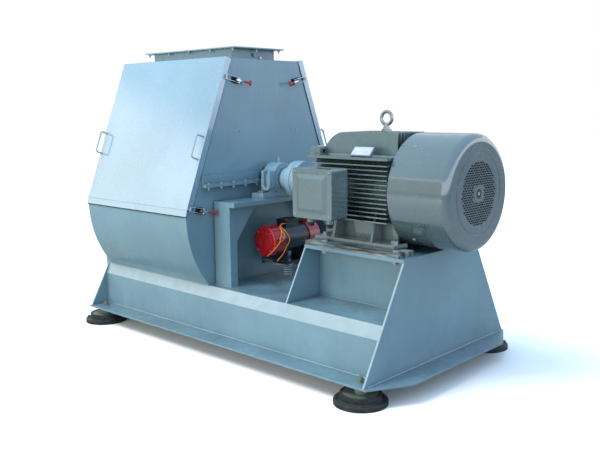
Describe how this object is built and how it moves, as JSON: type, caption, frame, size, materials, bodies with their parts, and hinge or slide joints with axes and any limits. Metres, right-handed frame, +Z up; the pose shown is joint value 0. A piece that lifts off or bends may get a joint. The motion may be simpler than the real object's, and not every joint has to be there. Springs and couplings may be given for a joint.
{
  "type": "hammer mill",
  "caption": "Floor-standing hammer mill: sloped-side casing with lift-off doors on a box base, direct-coupled finned motor, vibrating screen frame and rubber feet.",
  "frame": {"origin": "on the floor under the middle of the base: midway along the machine and on its middle plane", "axes": "+X along the rotor axis from the mill to the motor, -Y towards the front (terminal box side), +Z up"},
  "size_m": [3.048, 1.5978, 1.97],
  "materials": {
    "casing_paint": "semi-gloss blue-grey enamel",
    "door_paint": "glossy light blue-grey enamel",
    "motor_paint": "semi-gloss grey-green enamel",
    "red_paint": "glossy red enamel",
    "vibrator_paint": "dark blue enamel",
    "rubber": "matt black rubber",
    "zinc": "zinc-plated steel",
    "machined_steel": "machined steel",
    "rusty_steel": "weathered mill-scale steel",
    "housing_paint": "painted cast iron",
    "hammer_steel": "hardened steel",
    "stator_iron": "laminated iron",
    "fan_plastic": "black moulded plastic",
    "seal_rubber": "black sponge rubber"
  },
  "bodies": {
    "machine": {"base_frame": "casing_paint", "motor_stand": "casing_paint", "rubber_feet": "rubber", "foot_bolts": "zinc", "motor_rails": "rusty_steel", "machine_bolts": "zinc", "lower_casing": "casing_paint", "upper_casing": "casing_paint", "casing_bolts": "zinc", "inlet_hopper": "casing_paint", "door_seals": "seal_rubber", "clamp_bases": "zinc", "bearing_pedestals": "casing_paint", "bearing_housings": "housing_paint", "rotor_bearings": "machined_steel", "motor_frame": "motor_paint", "motor_end_shields": "motor_paint", "motor_stator": "stator_iron", "fan_cowl": "motor_paint", "terminal_box": "motor_paint", "terminal_cover": "motor_paint", "eye_bolt": "zinc"},
    "feed_flap": {"feed_flap": "casing_paint"},
    "front_door": {"front_door": "door_paint"},
    "rear_door": {"rear_door": "door_paint"},
    "mill_rotor": {"rotor_shaft": "machined_steel", "rotor_discs": "machined_steel", "hammer_pins": "machined_steel", "mill_coupling_half": "housing_paint", "coupling_pins": "zinc"},
    "motor_rotor": {"motor_rotor": "machined_steel", "motor_fan": "fan_plastic", "motor_coupling_half": "housing_paint"},
    "hammers_1": {"hammers_row_1": "hammer_steel"},
    "hammers_2": {"hammers_row_2": "hammer_steel"},
    "hammers_3": {"hammers_row_3": "hammer_steel"},
    "hammers_4": {"hammers_row_4": "hammer_steel"},
    "screen_carrier": {"screen_frame": "rusty_steel", "screens": "hammer_steel", "vibrator_plate": "rusty_steel", "vibrator_body": "vibrator_paint", "vibrator_caps": "red_paint", "vibrator_spring": "zinc"},
    "vibrator_rotor": {"vibrator_rotor": "machined_steel"},
    "clamp_lever_front_top_drive": {"clamp_lever_front_top_drive": "zinc"},
    "clamp_hook_front_top_drive": {"clamp_hook_front_top_drive": "zinc"},
    "clamp_lever_front_top_far": {"clamp_lever_front_top_far": "zinc"},
    "clamp_hook_front_top_far": {"clamp_hook_front_top_far": "zinc"},
    "clamp_lever_rear_top_drive": {"clamp_lever_rear_top_drive": "zinc"},
    "clamp_hook_rear_top_drive": {"clamp_hook_rear_top_drive": "zinc"},
    "clamp_lever_rear_top_far": {"clamp_lever_rear_top_far": "zinc"},
    "clamp_hook_rear_top_far": {"clamp_hook_rear_top_far": "zinc"},
    "clamp_lever_front_low_drive": {"clamp_lever_front_low_drive": "zinc"},
    "clamp_hook_front_low_drive": {"clamp_hook_front_low_drive": "zinc"},
    "clamp_lever_front_low_far": {"clamp_lever_front_low_far": "zinc"},
    "clamp_hook_front_low_far": {"clamp_hook_front_low_far": "zinc"},
    "clamp_lever_rear_low_drive": {"clamp_lever_rear_low_drive": "zinc"},
    "clamp_hook_rear_low_drive": {"clamp_hook_rear_low_drive": "zinc"},
    "clamp_lever_rear_low_far": {"clamp_lever_rear_low_far": "zinc"},
    "clamp_hook_rear_low_far": {"clamp_hook_rear_low_far": "zinc"}
  },
  "joints": [
    {"name": "rotor_spin", "type": "hinge", "parent": "machine", "child": "mill_rotor", "pos_m": [-0.6975, 0, 1.09], "axis": [1, 0, 0], "continuous": true},
    {"name": "motor_spin", "type": "hinge", "parent": "machine", "child": "motor_rotor", "pos_m": [0.8, 0, 1.09], "axis": [1, 0, 0], "continuous": true},
    {"name": "hammer_row_1_swing", "type": "hinge", "parent": "mill_rotor", "child": "hammers_1", "pos_m": [-0.6975, 0.35, 1.09], "axis": [1, 0, 0], "range_deg": [-35, 35]},
    {"name": "hammer_row_2_swing", "type": "hinge", "parent": "mill_rotor", "child": "hammers_2", "pos_m": [-0.6975, 0, 1.44], "axis": [1, 0, 0], "range_deg": [-35, 35]},
    {"name": "hammer_row_3_swing", "type": "hinge", "parent": "mill_rotor", "child": "hammers_3", "pos_m": [-0.6975, -0.35, 1.09], "axis": [1, 0, 0], "range_deg": [-35, 35]},
    {"name": "hammer_row_4_swing", "type": "hinge", "parent": "mill_rotor", "child": "hammers_4", "pos_m": [-0.6975, 0, 0.74], "axis": [1, 0, 0], "range_deg": [-35, 35]},
    {"name": "feed_flap_swing", "type": "hinge", "parent": "machine", "child": "feed_flap", "pos_m": [-0.68, 0, 1.925], "axis": [1, 0, 0], "range_deg": [-25, 25]},
    {"name": "front_door_lift_off", "type": "slide", "parent": "machine", "child": "front_door", "axis": [0, -0.9354, 0.3536], "range_m": [0, 0.35]},
    {"name": "rear_door_lift_off", "type": "slide", "parent": "machine", "child": "rear_door", "axis": [0, 0.9354, 0.3536], "range_m": [0, 0.35]},
    {"name": "screen_shake", "type": "slide", "parent": "machine", "child": "screen_carrier", "axis": [0, 0, 1], "range_m": [-0.003, 0.003], "deforming": ["vibrator_spring"]},
    {"name": "vibrator_spin", "type": "hinge", "parent": "screen_carrier", "child": "vibrator_rotor", "pos_m": [0.058, 0, 0.686], "axis": [0, 1, 0], "continuous": true},
    {"name": "clamp_front_top_drive", "type": "hinge", "parent": "machine", "child": "clamp_lever_front_top_drive", "pos_m": [-0.107, -0.28741, 1.74819], "axis": [0, -0.2181, -0.9759], "range_deg": [0, 120]},
    {"name": "hook_front_top_drive", "type": "hinge", "parent": "clamp_lever_front_top_drive", "child": "clamp_hook_front_top_drive", "pos_m": [-0.1105, -0.26594, 1.74339], "axis": [0, -0.2181, -0.9759], "range_deg": [-120, 0]},
    {"name": "clamp_front_top_far", "type": "hinge", "parent": "machine", "child": "clamp_lever_front_top_far", "pos_m": [-1.288, -0.28741, 1.74819], "axis": [0, 0.2181, 0.9759], "range_deg": [0, 120]},
    {"name": "hook_front_top_far", "type": "hinge", "parent": "clamp_lever_front_top_far", "child": "clamp_hook_front_top_far", "pos_m": [-1.2845, -0.26594, 1.74339], "axis": [0, 0.2181, 0.9759], "range_deg": [-120, 0]},
    {"name": "clamp_rear_top_drive", "type": "hinge", "parent": "machine", "child": "clamp_lever_rear_top_drive", "pos_m": [-0.107, 0.28741, 1.74819], "axis": [0, -0.2181, 0.9759], "range_deg": [0, 120]},
    {"name": "hook_rear_top_drive", "type": "hinge", "parent": "clamp_lever_rear_top_drive", "child": "clamp_hook_rear_top_drive", "pos_m": [-0.1105, 0.26594, 1.74339], "axis": [0, -0.2181, 0.9759], "range_deg": [-120, 0]},
    {"name": "clamp_rear_top_far", "type": "hinge", "parent": "machine", "child": "clamp_lever_rear_top_far", "pos_m": [-1.288, 0.28741, 1.74819], "axis": [0, 0.2181, -0.9759], "range_deg": [0, 120]},
    {"name": "hook_rear_top_far", "type": "hinge", "parent": "clamp_lever_rear_top_far", "child": "clamp_hook_rear_top_far", "pos_m": [-1.2845, 0.26594, 1.74339], "axis": [0, 0.2181, -0.9759], "range_deg": [-120, 0]},
    {"name": "clamp_front_low_drive", "type": "hinge", "parent": "machine", "child": "clamp_lever_front_low_drive", "pos_m": [-0.107, -0.61841, 0.91819], "axis": [0, -0.2181, -0.9759], "range_deg": [0, 120]},
    {"name": "hook_front_low_drive", "type": "hinge", "parent": "clamp_lever_front_low_drive", "child": "clamp_hook_front_low_drive", "pos_m": [-0.1105, -0.59694, 0.91339], "axis": [0, -0.2181, -0.9759], "range_deg": [-120, 0]},
    {"name": "clamp_front_low_far", "type": "hinge", "parent": "machine", "child": "clamp_lever_front_low_far", "pos_m": [-1.288, -0.61841, 0.91819], "axis": [0, 0.2181, 0.9759], "range_deg": [0, 120]},
    {"name": "hook_front_low_far", "type": "hinge", "parent": "clamp_lever_front_low_far", "child": "clamp_hook_front_low_far", "pos_m": [-1.2845, -0.59694, 0.91339], "axis": [0, 0.2181, 0.9759], "range_deg": [-120, 0]},
    {"name": "clamp_rear_low_drive", "type": "hinge", "parent": "machine", "child": "clamp_lever_rear_low_drive", "pos_m": [-0.107, 0.61841, 0.91819], "axis": [0, -0.2181, 0.9759], "range_deg": [0, 120]},
    {"name": "hook_rear_low_drive", "type": "hinge", "parent": "clamp_lever_rear_low_drive", "child": "clamp_hook_rear_low_drive", "pos_m": [-0.1105, 0.59694, 0.91339], "axis": [0, -0.2181, 0.9759], "range_deg": [-120, 0]},
    {"name": "clamp_rear_low_far", "type": "hinge", "parent": "machine", "child": "clamp_lever_rear_low_far", "pos_m": [-1.288, 0.61841, 0.91819], "axis": [0, 0.2181, -0.9759], "range_deg": [0, 120]},
    {"name": "hook_rear_low_far", "type": "hinge", "parent": "clamp_lever_rear_low_far", "child": "clamp_hook_rear_low_far", "pos_m": [-1.2845, 0.59694, 0.91339], "axis": [0, 0.2181, -0.9759], "range_deg": [-120, 0]}
  ],
  "couplings": [
    {"joint": "motor_spin", "follows": "rotor_spin", "ratio": 1},
    {"joint": "hook_front_top_drive", "follows": "clamp_front_top_drive", "ratio": -1},
    {"joint": "hook_front_top_far", "follows": "clamp_front_top_far", "ratio": -1},
    {"joint": "hook_rear_top_drive", "follows": "clamp_rear_top_drive", "ratio": -1},
    {"joint": "hook_rear_top_far", "follows": "clamp_rear_top_far", "ratio": -1},
    {"joint": "hook_front_low_drive", "follows": "clamp_front_low_drive", "ratio": -1},
    {"joint": "hook_front_low_far", "follows": "clamp_front_low_far", "ratio": -1},
    {"joint": "hook_rear_low_drive", "follows": "clamp_rear_low_drive", "ratio": -1},
    {"joint": "hook_rear_low_far", "follows": "clamp_rear_low_far", "ratio": -1}
  ]
}
